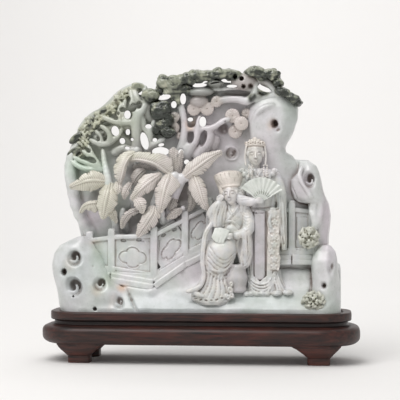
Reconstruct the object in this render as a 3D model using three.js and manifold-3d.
// A carved jadeite mountain on its hardwood stand. One block of jade holds a rock screen pierced
// under pine and broadleaf trees, a banana grove, a stone balustrade, garden rocks, and two ladies,
// one seated with an album and one standing with a folding fan. It sits loose in the stand's tray.
// Millimetres, +Z up, -Y towards the viewer, origin under the middle of the stand.
import * as THREE from "three";
import { mergeVertices } from "three/addons/utils/BufferGeometryUtils.js";
import Module from "manifold-3d";

const wasm = await Module();
wasm.setup();

// Driving sizes of the stand.
const STAND_HALF_LENGTH = 158;
const STAND_HALF_DEPTH = 51;
const STAND_CORNER = 42;
const APRON_BOTTOM = 19;
const RIM_TOP = 50.2;
const RIM_INSET = 8.4;
const WAIST_INSET = 12;
const TRAY_INSET = 16.5;
const TRAY_DEPTH = 5;
const FIT_GAP = 0.3;

// Driving sizes of the jade.
const JADE_BOTTOM = RIM_TOP - TRAY_DEPTH + FIT_GAP;
const BASE_LEFT = -136;
const BASE_RIGHT = 139;
const BASE_HALF_DEPTH = 33;
const BASE_CORNER = 24;
const SCREEN_FRONT = 5;
const SCREEN_BACK = 21;

// The relief is laid out as it is seen from in front and a little to the right: x and z say where a
// form shows on an upright plane through the stand's middle, and seen() carries that point along the
// line of sight to its own depth y.
const EYE_DISTANCE = 1300;
const EYE_HEIGHT = 160;
const EYE_TURN = THREE.MathUtils.degToRad(5.5);

function seen(x, y, z) {
  const eyeX = EYE_DISTANCE * Math.sin(EYE_TURN);
  const eyeY = EYE_DISTANCE * Math.cos(EYE_TURN);
  const reach = (y + eyeY) / (eyeY + x * Math.sin(EYE_TURN));
  return new THREE.Vector3(
    eyeX + reach * (x * Math.cos(EYE_TURN) - eyeX),
    y,
    EYE_HEIGHT + reach * (z - EYE_HEIGHT),
  );
}

// Turning closed geometry into solids and back.
function solidOf(geometry) {
  const bare = geometry.index ? geometry.toNonIndexed() : geometry.clone();
  bare.deleteAttribute("normal");
  bare.deleteAttribute("uv");
  const merged = mergeVertices(bare, 1e-3);
  const make = (triangles) =>
    new wasm.Manifold(
      new wasm.Mesh({ numProp: 3, vertProperties: merged.attributes.position.array, triVerts: triangles }),
    );
  const solid = make(new Uint32Array(merged.index.array));
  return solid.volume() < 0 ? make(new Uint32Array(merged.index.array).reverse()) : solid;
}

function geometryOf(solid) {
  const mesh = solid.getMesh();
  return new THREE.BufferGeometry()
    .setAttribute("position", new THREE.BufferAttribute(new Float32Array(mesh.vertProperties), 3))
    .setIndex(new THREE.BufferAttribute(new Uint32Array(mesh.triVerts), 1));
}

const unite = (solids) => solids.reduce((sum, solid) => sum.add(solid));

// The outer skin of a solid: hollows that no opening reaches are filled in.
const outerSkin = (solid) =>
  solid.decompose().reduce((best, body) => (body.volume() > best.volume() ? body : best));

// A closed body through rings of equal count, with a fan over each end.
function loft(rings) {
  const count = rings[0].length;
  const points = rings.flat();
  const triangles = [];
  for (let ring = 0; ring + 1 < rings.length; ring++) {
    for (let i = 0; i < count; i++) {
      const a = ring * count + i;
      const b = ring * count + ((i + 1) % count);
      triangles.push(a, b, b + count, a, b + count, a + count);
    }
  }
  [0, rings.length - 1].forEach((ring) => {
    const middle = rings[ring].reduce((sum, p) => sum.clone().add(p)).multiplyScalar(1 / count);
    const hub = points.push(middle) - 1;
    for (let i = 0; i < count; i++) {
      const a = ring * count + i;
      const b = ring * count + ((i + 1) % count);
      triangles.push(...(ring === 0 ? [hub, b, a] : [hub, a, b]));
    }
  });
  const geometry = new THREE.BufferGeometry().setFromPoints(points);
  geometry.setIndex(triangles);
  return solidOf(geometry);
}

// A body stacked from levels [z, left, right, front, back], round in plan, with folds as slow waves.
function stack(levels, { sides = 8, square = 0.8, folds = 0, depth = 0 } = {}) {
  return loft(
    levels.map(([z, left, right, front, back]) =>
      Array.from({ length: sides }, (_, i) => {
        const angle = (2 * Math.PI * (i + 0.5)) / sides;
        const wave = 1 + depth * Math.cos(folds * angle);
        const across = Math.sign(Math.cos(angle)) * Math.abs(Math.cos(angle)) ** square * wave;
        const along = Math.sign(Math.sin(angle)) * Math.abs(Math.sin(angle)) ** square * wave;
        const y = (front + back) / 2 + (along * (back - front)) / 2;
        return seen((left + right) / 2 + (across * (right - left)) / 2, y, z);
      }),
    ),
  );
}

// A limb through points [x, y, z, radius], round or deepened towards the back.
function limb(points, { sides = 5, steps = 2, deepening = 1, swell = 0 } = {}) {
  const curve = new THREE.CatmullRomCurve3(points.map(([x, y, z]) => seen(x, y, z)));
  const count = (points.length - 1) * steps;
  const frames = curve.computeFrenetFrames(count, false);
  const rings = [];
  for (let i = 0; i <= count; i++) {
    const along = (i / count) * (points.length - 1);
    const at = Math.min(points.length - 2, Math.floor(along));
    const swelling = 1 + swell * (i % 2 ? -1 : 1);
    const radius = THREE.MathUtils.lerp(points[at][3], points[at + 1][3], along - at) * swelling;
    const centre = curve.getPoint(i / count);
    rings.push(
      Array.from({ length: sides }, (_, k) => {
        const angle = (2 * Math.PI * k) / sides;
        const offset = new THREE.Vector3()
          .addScaledVector(frames.normals[i], radius * Math.cos(angle))
          .addScaledVector(frames.binormals[i], radius * Math.sin(angle));
        offset.y *= deepening;
        return centre.clone().add(offset);
      }),
    );
  }
  return loft(rings);
}

// An egg-shaped lump at [x, y, z] with radii [rx, ry, rz], leaning by tilt degrees as seen from the front.
function lump([x, y, z], [rx, ry, rz], tilt = 0, sides = 8) {
  const geometry = new THREE.SphereGeometry(1, sides, Math.ceil(sides / 2));
  geometry.rotateX(Math.PI / 2).scale(rx, ry, rz).rotateY(THREE.MathUtils.degToRad(-tilt));
  const centre = seen(x, y, z);
  return solidOf(geometry.translate(centre.x, centre.y, centre.z));
}

// A bar with square corners between two ends [x, z low, z high, front, back].
function bar(from, to) {
  const ring = ([x, low, high, front, back]) => [
    seen(x, front, low),
    seen(x, back, low),
    seen(x, back, high),
    seen(x, front, high),
  ];
  return loft([ring(from), ring(to)]);
}

// A flat shape in the front view, from depth front to depth back.
function plate(shape, front, back, bevel = 0, curveSegments = 3) {
  const geometry = new THREE.ExtrudeGeometry(shape, {
    depth: back - front - 2 * bevel,
    bevelEnabled: bevel > 0,
    bevelThickness: bevel,
    bevelSize: bevel,
    bevelOffset: -bevel,
    bevelSegments: 1,
    curveSegments,
  });
  geometry.rotateX(Math.PI / 2).translate(0, back - bevel, 0);
  return solidOf(geometry);
}

// The stand: apron, waist and tray rim in one moulded profile, on four bracket feet.
function oblong(halfLength, halfDepth, corner) {
  const shape = new THREE.Shape();
  shape.moveTo(halfLength, corner - halfDepth);
  shape.absarc(halfLength - corner, halfDepth - corner, corner, 0, Math.PI / 2);
  shape.absarc(corner - halfLength, halfDepth - corner, corner, Math.PI / 2, Math.PI);
  shape.absarc(corner - halfLength, corner - halfDepth, corner, Math.PI, 1.5 * Math.PI);
  shape.absarc(halfLength - corner, corner - halfDepth, corner, 1.5 * Math.PI, 2 * Math.PI);
  return shape;
}

function standMoulding() {
  const profile = [
    [APRON_BOTTOM, 6],
    [APRON_BOTTOM + 1.4, 2.2],
    [APRON_BOTTOM + 4.5, 0],
    [APRON_BOTTOM + 13, 0],
    [APRON_BOTTOM + 16.6, 2.4],
    [APRON_BOTTOM + 18.6, WAIST_INSET - 2],
    [APRON_BOTTOM + 18.8, WAIST_INSET],
    [RIM_TOP - 8.4, WAIST_INSET],
    [RIM_TOP - 8.2, RIM_INSET],
    [RIM_TOP, RIM_INSET],
  ];
  const cornerSteps = 4;
  return loft(
    profile.map(([z, inset]) => {
      const outline = oblong(STAND_HALF_LENGTH - inset, STAND_HALF_DEPTH - inset, STAND_CORNER - inset);
      return outline.curves
        .filter((curve) => curve.isEllipseCurve)
        .flatMap((curve) => curve.getPoints(cornerSteps))
        .map((p) => new THREE.Vector3(p.x, p.y, z));
    }),
  );
}

function tray() {
  const outline = oblong(
    STAND_HALF_LENGTH - TRAY_INSET,
    STAND_HALF_DEPTH - TRAY_INSET + 1.5,
    STAND_CORNER - TRAY_INSET + 3,
  );
  const pocket = new THREE.ExtrudeGeometry(outline, { depth: 20, bevelEnabled: false, curveSegments: 5 });
  return solidOf(pocket.translate(0, 0, RIM_TOP - TRAY_DEPTH));
}

// One bracket foot: a small upright pad under a bracket that spreads to the apron. sx and sy say
// which corner it stands at.
function foot(sx, sy) {
  const levels = [
    [0, 108, 126, 18, 34.5],
    [7.5, 107.5, 127, 18, 35.5],
    [12, 102, 131, 17, 39],
    [APRON_BOTTOM - 0.5, 91, 139, 14, 47],
    [APRON_BOTTOM + 3, 90, 139, 14, 48],
  ];
  const chamfer = 3.5;
  return loft(
    levels.map(([z, x0, x1, y0, y1]) =>
      [
        [x0 + chamfer, y0],
        [x1 - chamfer, y0],
        [x1, y0 + chamfer],
        [x1, y1 - chamfer],
        [x1 - chamfer, y1],
        [x0 + chamfer, y1],
        [x0, y1 - chamfer],
        [x0, y0 + chamfer],
      ].map(([x, y]) => new THREE.Vector3(sx * x, sy * y, z)),
    ),
  );
}

function woodStand() {
  const feet = [foot(-1, -1), foot(1, -1), foot(-1, 1), foot(1, 1)];
  return unite([standMoulding().subtract(tray()), ...feet]);
}

// The screen: the upright rock behind everything, its outline, its hollows and its piercings.
const SCREEN_OUTLINE = [
  [-108, 60], [-108, 118], [-119, 138], [-129, 158], [-131, 176], [-136, 188], [-132, 208],
  [-122, 232], [-106, 250], [-84, 270], [-68, 275], [-50, 270], [-32, 256], [-20, 254], [-8, 266],
  [26, 273], [52, 274], [74, 262], [94, 256], [96, 238], [90, 222], [84, 209], [86, 197], [102, 191],
  [114, 176], [124, 150], [126, 126], [123, 100], [121, 60],
];

// Each piercing is [x, z, half width, half height, lean in degrees].
const PIERCINGS = [
  [-73.5, 243, 4, 4.6, 0], [-86, 227, 4.4, 5.4, 20], [-78.5, 217, 3, 3.4, 20],
  [-57, 217, 4, 9.5, 14], [-52.5, 231.5, 3.6, 2.6, 0], [-39.5, 214, 4.4, 2.4, 10],
  [-40, 205.5, 8.5, 4.4, 0], [2, 236, 4.2, 5.6, 0], [-18, 258, 3.4, 6, -20], [62, 268, 7, 2.6, -28],
];

// Hollows cut into the screen's front, [x, y, z] and radii: the dark grottoes behind the leaves.
const HOLLOWS = [
  [[-52, 2, 186], [24, 10, 12]], [[-66, 2, 138], [15, 10, 14]], [[-18, 2, 168], [20, 10, 16]],
  [[-100, 0, 168], [14, 8, 20]], [[-112, 1, 202], [16, 7, 12]], [[36, 3, 244], [16, 7, 14]],
  [[34, 4, 206], [13, 6, 13]],
];

function screen() {
  const outline = new THREE.Shape(SCREEN_OUTLINE.map(([x, z]) => new THREE.Vector2(x, z)));
  const slab = plate(outline, SCREEN_FRONT, SCREEN_BACK, 3);
  const back = [
    lump([-66, 17, 150], [62, 15, 92], 8, 10),
    lump([62, 17, 148], [60, 16, 88], -4, 10),
    lump([0, 18, 196], [70, 9, 62], 0, 10),
  ];
  const rim = limb(
    [[-106, 2, 118, 5], [-122, -2, 148, 8], [-126, -3, 178, 9], [-126, -2, 206, 8], [-112, 2, 238, 6]],
    { sides: 6, steps: 1 },
  );
  const hollows = HOLLOWS.map(([centre, radii]) => lump(centre, radii, 0, 6));
  const solid = unite([slab, ...back, rim]);
  const clear = plate(new THREE.Shape(squareAround(0, 170, 240)), SCREEN_BACK + 9.5, 90);
  return unite([solid.subtract(clear).subtract(unite(hollows))]).subtract(unite(PIERCINGS.map(piercing)));
}

function squareAround(x, z, half) {
  return [
    new THREE.Vector2(x - half, z - half),
    new THREE.Vector2(x + half, z - half),
    new THREE.Vector2(x + half, z + half),
    new THREE.Vector2(x - half, z + half),
  ];
}

function piercing([x, z, halfWidth, halfHeight, lean]) {
  const shape = new THREE.Shape();
  shape.absellipse(x, z, halfWidth, halfHeight, 0, 2 * Math.PI, false, THREE.MathUtils.degToRad(lean));
  return plate(shape, -60, 60, 0, 3);
}

// The ground: a bank that climbs from the tray's front edge to the terrace under the balustrade.
function ground() {
  const profile = new THREE.Shape([
    new THREE.Vector2(-BASE_HALF_DEPTH, JADE_BOTTOM),
    new THREE.Vector2(-BASE_HALF_DEPTH - 0.5, 54),
    new THREE.Vector2(-25, 66),
    new THREE.Vector2(-15, 76),
    new THREE.Vector2(0, 92),
    new THREE.Vector2(22, 96),
    new THREE.Vector2(31, 80),
    new THREE.Vector2(BASE_HALF_DEPTH, JADE_BOTTOM),
  ]);
  const length = BASE_RIGHT - BASE_LEFT;
  const bank = new THREE.ExtrudeGeometry(profile, { depth: length, bevelEnabled: false });
  bank.rotateX(Math.PI / 2).rotateZ(Math.PI / 2).translate(BASE_LEFT, 0, 0);
  const plan = oblong(length / 2, BASE_HALF_DEPTH + 1, BASE_CORNER);
  const column = new THREE.ExtrudeGeometry(plan, { depth: 80, bevelEnabled: false, curveSegments: 4 });
  column.translate((BASE_LEFT + BASE_RIGHT) / 2, 0, JADE_BOTTOM);
  return solidOf(bank).intersect(solidOf(column));
}

// Garden rocks as stacked levels [z, left, right, front, back].
const LEFT_ROCK = [
  [JADE_BOTTOM, -137, -68, -32, 16], [66, -143, -75, -34, 19], [84, -147, -86, -33, 19],
  [97, -147, -95, -31, 18], [108, -145, -99, -28, 17], [117, -137, -104, -23, 15],
  [124, -121, -108, -18, 12],
];
const RIGHT_FRONT_ROCK = [
  [JADE_BOTTOM, 106, 140, -30, 18], [76, 111, 139.5, -31, 18], [92, 110, 138, -30, 17],
  [104, 115, 135, -27, 14], [113, 123, 129, -20, 8],
];
const RIGHT_TALL_ROCK = [
  [92, 110, 128, -8, 24], [126, 112, 129.5, -9, 25], [148, 109, 128, -12, 24],
  [163, 92, 125.5, -19, 22], [176, 90, 122, -19, 21], [188, 95, 118, -17, 20],
  [197, 104, 113, -6, 15],
];
const UPPER_ROCK = [
  [196, 66, 92, -3, 20], [207, 64, 86, -7, 21], [218, 58, 88, -10, 22], [232, 48, 96, -13, 22],
  [252, 51, 97, -11, 20], [261, 61, 89, -7, 16],
];

// Water-worn pits in the rocks, [x, y, z] and radii.
const PITS = [
  [[-126, -31, 101], [5, 9, 8]], [[-129, -33, 74], [8.5, 9, 8.5]], [[-101, -34, 72], [6.5, 8, 7]],
  [[-83, -36, 56], [5, 7, 6.5]], [[132, -30, 92], [3.4, 6, 5]], [[74, -13, 234], [4.4, 8, 6]],
  [[106, -19, 181], [6, 8, 9]], [[31, -1, 206], [7, 4, 8]],
];

function rocks() {
  const masses = [
    stack(LEFT_ROCK),
    stack(RIGHT_FRONT_ROCK),
    stack(RIGHT_TALL_ROCK),
    stack(UPPER_ROCK),
    lump([37, -14, 79], [9, 10, 12], 0, 8),
    limb([[101, -8, 152, 4], [108, -9, 140, 6], [105, -8, 124, 5], [108, -8, 108, 4]], { steps: 1 }),
  ];
  return unite(masses).subtract(unite(PITS.map(([centre, radii]) => lump(centre, radii, 0, 6))));
}

// Trees. Each trunk or branch is a run of points [x, y, z, radius].
const BRANCHES = [
  [[-64, 4, 196, 5], [-63, 1, 218, 4], [-63, 0, 240, 3.6], [-56, 1, 256, 3.2], [-54, 4, 270, 2.6]],
  [[-62, 1, 240, 3], [-68, 1, 256, 2.6], [-71, 3, 268, 2]],
  [[-64, 1, 234, 3], [-80, 1, 236, 2.6], [-97, 1, 234, 2.4], [-108, 0, 222, 2]],
  [[-52, 4, 205, 3], [-50, 2, 222, 2.4], [-44, 4, 240, 2]],
  [[-100, -1, 194, 2.2], [-112, -2, 206, 2], [-122, -3, 212, 1.8]],
  [[-100, -1, 194, 2.2], [-106, -2, 212, 2], [-114, -2, 222, 1.8]],
  [[-14, 2, 196, 5.5], [-15, 0, 218, 3.6], [-18, 0, 240, 3], [-21, 0, 262, 3.6], [-27, 2, 274, 4]],
  [[-8, 2, 204, 4.4], [-3, 0, 220, 3], [-1, 1, 244, 2.6]],
  [[0, 2, 206, 4], [13, 0, 218, 4], [18, 1, 232, 3]],
  [[2, 0, 230, 2.2], [14, -1, 231, 2], [26, -2, 238, 1.8]],
  [[54, 2, 284, 3], [55, 0, 272, 3.4], [50, 0, 260, 3.2], [24, 1, 261, 3.4]],
  [[62, 0, 282, 4], [72, 0, 274, 3.6], [82, 1, 264, 3.6]],
];

// Crowns run along the top of the block as thick bands, deeper than they are tall, swelling and
// narrowing from one leaf cushion to the next.
const CROWNS = [
  [[-133, -3, 191, 3], [-126, -3, 205, 6], [-113, -1, 224, 7.5], [-98, 0, 242, 7.5], [-82, 1, 260, 7.5],
    [-67, 2, 268, 7], [-50, 3, 266, 5]],
  [[-43, -1, 270, 4], [-30, -2, 275, 9], [-8, -2, 280, 9], [20, -2, 283, 8], [42, -2, 282, 6],
    [54, -2, 292.7, 7], [70, -2, 283, 7], [82, -2, 271, 6.5], [93, -1, 261, 6], [99, -1, 254, 3.5]],
];
const CROWN_DEPTH = 1.9;
const CROWN_SWELL = 0.16;

// Single pads under the crowns, [x, y, z], radii and lean.
const PADS = [
  [[-25, -2, 266], [9, 11, 9], 10], [[2, 0, 268], [13, 10, 5.5], 4], [[34, 2, 266], [16, 8, 4.5], 0],
  [[-40, 0, 247], [12, 12, 13], 0], [[-37, 0, 229], [11, 12, 12], 0],
];

// Round needle clusters in low relief, [x, y, z, radius].
const CLUSTERS = [
  [-6, 0, 249, 9.6], [6, -1, 249, 9.6], [16, 1, 257, 6], [31.5, -1, 241, 8], [40.5, -2, 234, 8],
  [35, 0, 225, 8], [45, 1, 246, 5.5],
];

function needleCluster([x, y, z, radius]) {
  const disc = new THREE.CylinderGeometry(radius * 0.86, radius, 9, 6);
  disc.rotateX(Math.PI / 2);
  const centre = seen(x, y + 3.5, z);
  return solidOf(disc.translate(centre.x, centre.y, centre.z));
}

function trees() {
  const branches = BRANCHES.map((points) => limb(points, { sides: 4, steps: 1 }));
  const crowns = CROWNS.map((points) => limb(points, { sides: 6, steps: 1, deepening: CROWN_DEPTH, swell: CROWN_SWELL }));
  const pads = PADS.map(([centre, radii, lean]) => lump(centre, radii, lean, 6));
  return unite([...branches, ...crowns, ...pads, ...CLUSTERS.map(needleCluster)]);
}

// The banana grove. Each leaf is its width, its face's turn about its midrib in degrees, and the
// midrib's points [x, y, z] from stalk to tip.
const LEAVES = [
  [17, 12, [[-21, -16, 177], [-6, -21, 189], [8, -19, 200], [21, -12, 206]]],
  [15, -14, [[-17, -16, 175], [-7, -23, 174], [2, -24, 164], [7, -22, 150]]],
  [18, -8, [[-24, -17, 180], [-34, -26, 178], [-38, -28, 165], [-41, -26, 146]]],
  [13, 10, [[-40, -24, 152], [-48, -26, 142], [-56, -24, 134], [-64, -22, 124]]],
  [16, 14, [[-34, -18, 184], [-46, -25, 184], [-58, -27, 174], [-71, -25, 159]]],
  [9, -10, [[-70, -24, 162], [-63, -26, 156], [-58, -25, 146]]],
  [13, 20, [[-64, -13, 210], [-74, -18, 206], [-81, -21, 192], [-83, -22, 172]]],
  [13, -20, [[-64, -13, 210], [-52, -18, 207], [-40, -20, 200], [-32, -19, 189]]],
  [17, 6, [[-91, -14, 180], [-94, -20, 173], [-96, -23, 156], [-98, -21, 140]]],
  [15, 4, [[-93, -12, 177], [-104, -18, 181], [-117, -17, 179], [-131, -12, 171]]],
  [12, 0, [[-90, -10, 152], [-104, -16, 155], [-122, -14, 147]]],
  [8, 0, [[-29, -9, 184], [-30, -12, 198], [-31, -10, 210]]],
  [7, 0, [[-20, -9, 184], [-21, -11, 197], [-22, -9, 208]]],
  [14, 20, [[-78, -14, 138], [-74, -19, 152], [-64, -18, 158], [-54, -14, 152]]],
  [10, -20, [[-26, -12, 164], [-29, -16, 156], [-34, -14, 146]]],
];

function leaf([width, turn, midrib]) {
  const curve = new THREE.CatmullRomCurve3(midrib.map(([x, y, z]) => seen(x, y, z)));
  const steps = 4;
  const roll = THREE.MathUtils.degToRad(turn);
  const rings = [];
  for (let i = 0; i <= steps; i++) {
    const t = i / steps;
    const centre = curve.getPoint(t);
    const along = curve.getTangent(t);
    const out = new THREE.Vector3(0, -1, 0).addScaledVector(along, along.y).normalize();
    out.applyAxisAngle(along, roll);
    const across = new THREE.Vector3().crossVectors(along, out).normalize();
    const half = (width / 2) * Math.max(0.08, Math.sin(Math.PI * Math.min(1, 0.14 + 0.86 * t)) ** 0.6);
    const section = [[-1, -2], [0, 0.6], [1, -2], [0, -2.8]];
    rings.push(
      section.map(([side, lift]) => centre.clone().addScaledVector(across, side * half).addScaledVector(out, lift)),
    );
  }
  return loft(rings);
}

// The stalks rise from behind the balustrade and carry every leaf.
const STALKS = [
  [[-84, -4, 128, 3], [-87, -9, 150, 3.4], [-92, -11, 178, 4.4], [-97, -8, 208, 2.6]],
  [[-36, -4, 134, 4], [-30, -9, 156, 4], [-24, -13, 180, 5]],
  [[-52, -4, 134, 3.4], [-46, -12, 158, 3.4], [-36, -17, 182, 4]],
  [[-62, 8, 196, 4], [-64, -4, 205, 4], [-64, -14, 211, 3.4]],
  [[-72, 6, 132, 3.4], [-77, -14, 144, 3.4]],
  [[-40, -12, 140, 3], [-38, -22, 156, 3]],
];

function grove() {
  const stalks = STALKS.map((points) => limb(points, { sides: 4, steps: 1 }));
  return unite([...LEAVES.map(leaf), ...stalks, lump([-26, -14, 181], [12, 8, 6])]);
}

// The balustrade: posts [x, front, foot, rail], joined by panels with a quatrefoil in each.
const POSTS = [
  [-112, -13, 87, 123], [-90, -19, 86, 124.5], [-46.5, -21, 83, 126], [-15.5, -10, 99, 143],
  [10, 0, 112, 157],
];
const RIGHT_POSTS = [[74, -3, 103, 150], [91.5, -5, 103, 150], [110, -3, 103, 150]];
const POST_HALF = 3.8;
const PANEL_BACK = 14;

function quatrefoil([x1, front1, foot1, rail1], [x2, front2, foot2, rail2]) {
  const middle = seen((x1 + x2) / 2, (front1 + front2) / 2, (foot1 + rail1 + foot2 + rail2) / 4 - 2);
  const lobe = 5.4;
  const reach = [[7, 0], [-7, 0], [0, 4.4], [0, -4.4]];
  const discs = reach.map(([dx, dz]) => {
    const disc = new THREE.CylinderGeometry(lobe, lobe, 6, 8).rotateX(Math.PI / 2);
    return solidOf(disc.translate(dx, 0, dz));
  });
  const span = x2 - x1;
  const turn = Math.atan2(front2 - front1, span);
  const rise = (rail2 + foot2 - rail1 - foot1) / 2 / span;
  const shear = new THREE.Matrix4().set(0.8, 0, 0, middle.x, turn, 1, 0, middle.y + 2.4, rise, 0, 1, middle.z, 0, 0, 0, 1);
  return solidOf(geometryOf(unite(discs)).applyMatrix4(shear));
}

function fence(posts, withFlowers) {
  const parts = posts.map(([x, front, foot, rail]) =>
    bar([x - POST_HALF, foot - 8, rail + 5.5, front - 2, front + 8], [x + POST_HALF, foot - 8, rail + 5.5, front - 2, front + 8]),
  );
  for (let i = 0; i + 1 < posts.length; i++) {
    const [x1, front1, foot1, rail1] = posts[i];
    const [x2, front2, foot2, rail2] = posts[i + 1];
    const back1 = front1 + PANEL_BACK;
    const back2 = front2 + PANEL_BACK;
    parts.push(
      bar([x1, foot1 - 2, rail1 - 2, front1 + 1.5, back1], [x2, foot2 - 2, rail2 - 2, front2 + 1.5, back2]),
      bar([x1, rail1 - 3, rail1 + 2.5, front1 - 0.8, back1 - 6], [x2, rail2 - 3, rail2 + 2.5, front2 - 0.8, back2 - 6]),
      bar([x1, foot1 - 7, foot1 + 1, front1 - 1.2, back1], [x2, foot2 - 7, foot2 + 1, front2 - 1.2, back2]),
      bar([x1, foot1 - 12, foot1 - 6, front1 - 4, back1], [x2, foot2 - 12, foot2 - 6, front2 - 4, back2]),
    );
    if (withFlowers && i > 0) parts.push(quatrefoil(posts[i], posts[i + 1]));
  }
  return unite(parts);
}

// A blossom or round shrub: a low dome whose rim is drawn in between its petals.
function blossom([x, y, z], radius, petals) {
  const ring = (share, depth) =>
    Array.from({ length: 2 * petals }, (_, i) => {
      const reach = share * radius * (i % 2 ? 0.72 : 1);
      const angle = (Math.PI * i) / petals;
      return seen(x + reach * Math.cos(angle), depth, z + reach * Math.sin(angle));
    });
  return loft([ring(1, y + 6), ring(1, y - 1), ring(0.62, y - 4), ring(0.2, y - 3)]);
}

// The seated lady: skirt, lap, torso, head with its tall dressed hair, arms, sleeves and album.
const SEATED_SKIRT = [
  [55, -3, 26, -35, -14], [62, -11, 29, -36, -13], [72, -5, 28, -34, -11], [86, 1, 30, -34, -10],
  [104, 3, 36, -35, -7], [116, 6, 37, -33, -6], [121, 12, 38, -28, -6],
];
const SEATED_TORSO = [
  [116, 18, 41, -28, -6], [132, 20, 43, -26, -5], [149, 16, 45, -24, -5], [155, 21, 40, -21, -7],
  [163, 27, 33, -19, -11],
];
const SEATED_HAIR = [
  [168, 17, 39, -22, -5], [181, 14, 39.5, -23, -3], [186, 14.5, 38, -21, -5], [188, 19, 34, -17, -9],
];

function seatedLady() {
  return unite([
    stack(SEATED_SKIRT, { sides: 9, folds: 3, depth: 0.04 }),
    stack(SEATED_TORSO),
    lump([30.5, -18, 166], [7.6, 8, 9.6], 6, 9),
    lump([32.5, -26, 165], [1.1, 1.6, 2.2], 0, 6),
    stack(SEATED_HAIR),
    limb([[19, -17, 151, 5], [12, -22, 141, 5.5], [19, -26, 158, 3]], { steps: 1 }),
    stack([[125, 10, 20, -27, -17], [133, 8, 21, -28, -16], [143, 8, 22, -28, -16], [150, 11, 21, -26, -17]], { sides: 8 }),
    limb([[42, -16, 150, 5.5], [49, -20, 134, 5.5], [40, -26, 124, 5], [30, -29, 122, 3]], { steps: 1 }),
    stack([[92, 42, 49, -22, -14], [98, 39, 52, -25, -12], [112, 36, 52, -27, -11], [124, 36, 50, -27, -12]], { sides: 8 }),
    bar([7, 116, 130, -34, -28], [30, 114, 129, -31, -26]),
    limb([[9, -28, 128, 3], [3, -30, 108, 2.6], [1, -32, 84, 2.6], [-12, -33, 67, 2]], { steps: 1 }),
  ]);
}

// The standing lady: robe, head with its coronet, fan, arms, sash and hem folds.
const ROBE = [
  [62, 42, 90, -22, 6], [69, 40, 89, -24, 6], [80, 44, 80, -19, 6], [110, 42, 79, -18, 6],
  [146, 42, 76, -17, 6], [174, 37, 78, -17, 6], [184, 37, 77, -16, 6], [191, 46, 66, -13, 4],
  [199, 50, 60, -12, 3],
];
const CORONET = [
  [211, 45, 63.5, -18, 4], [219, 43.5, 64.5, -19, 4], [223, 48, 60, -16, 0], [229, 51, 56, -11, -4],
];
const FAN_PIVOT = [61, -24, 158];
const FAN_RADIUS = 24;
const FAN_FROM = THREE.MathUtils.degToRad(31);
const FAN_TO = THREE.MathUtils.degToRad(149);
const FAN_PLEATS = 9;

function fan() {
  const [x, y, z] = FAN_PIVOT;
  const rings = [];
  for (let i = 0; i <= 2 * FAN_PLEATS; i++) {
    const angle = THREE.MathUtils.lerp(FAN_FROM, FAN_TO, i / (2 * FAN_PLEATS));
    const front = y + (i % 2 ? 1.1 : 0);
    const at = (radius, depth) => seen(x + radius * Math.cos(angle), depth, z + radius * Math.sin(angle));
    rings.push([at(2, front), at(FAN_RADIUS, front), at(FAN_RADIUS, front + 3), at(2, front + 3)]);
  }
  return loft(rings);
}

function standingLady() {
  const sash = new THREE.Shape();
  sash.moveTo(50.5, 151);
  sash.lineTo(50.5, 79);
  sash.absarc(55.5, 79, 5, Math.PI, 2 * Math.PI);
  sash.lineTo(60.5, 151);
  return unite([
    stack(ROBE, { sides: 9, folds: 3, depth: 0.03 }),
    lump([54.5, -7, 205], [9, 9.5, 12.5], 0, 9),
    lump([55, -16.5, 203], [1.3, 1.8, 2.8], 0, 6),
    stack(CORONET),
    fan(),
    limb([[40, -8, 180, 6], [36, -12, 164, 5.5], [46, -20, 156, 4.4], [60, -25, 157, 3]], { steps: 1 }),
    limb([[74, -8, 180, 6], [79, -10, 160, 5.5], [80, -11, 140, 6], [82, -9, 120, 4]], { steps: 1 }),
    plate(sash, -19.8, -8, 0, 3),
    limb([[67, -17, 150, 4], [69, -18, 120, 4.4], [71, -19, 92, 4.6], [73, -20, 76, 6]], { steps: 1 }),
    limb([[44, -20, 90, 1.8], [50, -22, 77, 2.2], [61, -24, 71, 2.4], [70, -23, 80, 2.2], [73, -20, 92, 1.8]], { steps: 1 }),
    lump([75, -22, 65.5], [6, 6, 3.4], 0, 8),
    lump([87, -19, 66.5], [6, 5, 3.4], 0, 8),
  ]);
}

function jadeCarving() {
  const floor = plate(new THREE.Shape(squareAround(0, JADE_BOTTOM - 200, 200)), -90, 90);
  const carving = unite([
    screen(),
    ground(),
    rocks(),
    trees(),
    grove(),
    fence(POSTS, true),
    fence(RIGHT_POSTS, false),
    blossom([30, 5, 206], 8, 5),
    blossom([108, -13, 121], 11, 5),
    blossom([111, -30, 58], 12, 6),
    seatedLady(),
    standingLady(),
  ]).subtract(floor);
  return outerSkin(carving);
}

function named(name, solid, material) {
  const mesh = new THREE.Mesh(geometryOf(solid), material);
  mesh.name = name;
  return mesh;
}

const jade = new THREE.MeshStandardMaterial({ color: 0xcfd3cf, roughness: 0.3, metalness: 0 });
const rosewood = new THREE.MeshStandardMaterial({ color: 0x3a2422, roughness: 0.45, metalness: 0 });

const group = new THREE.Group();
group.add(named("jade_carving", jadeCarving(), jade));
group.add(named("wood_stand", woodStand(), rosewood));

export default group;
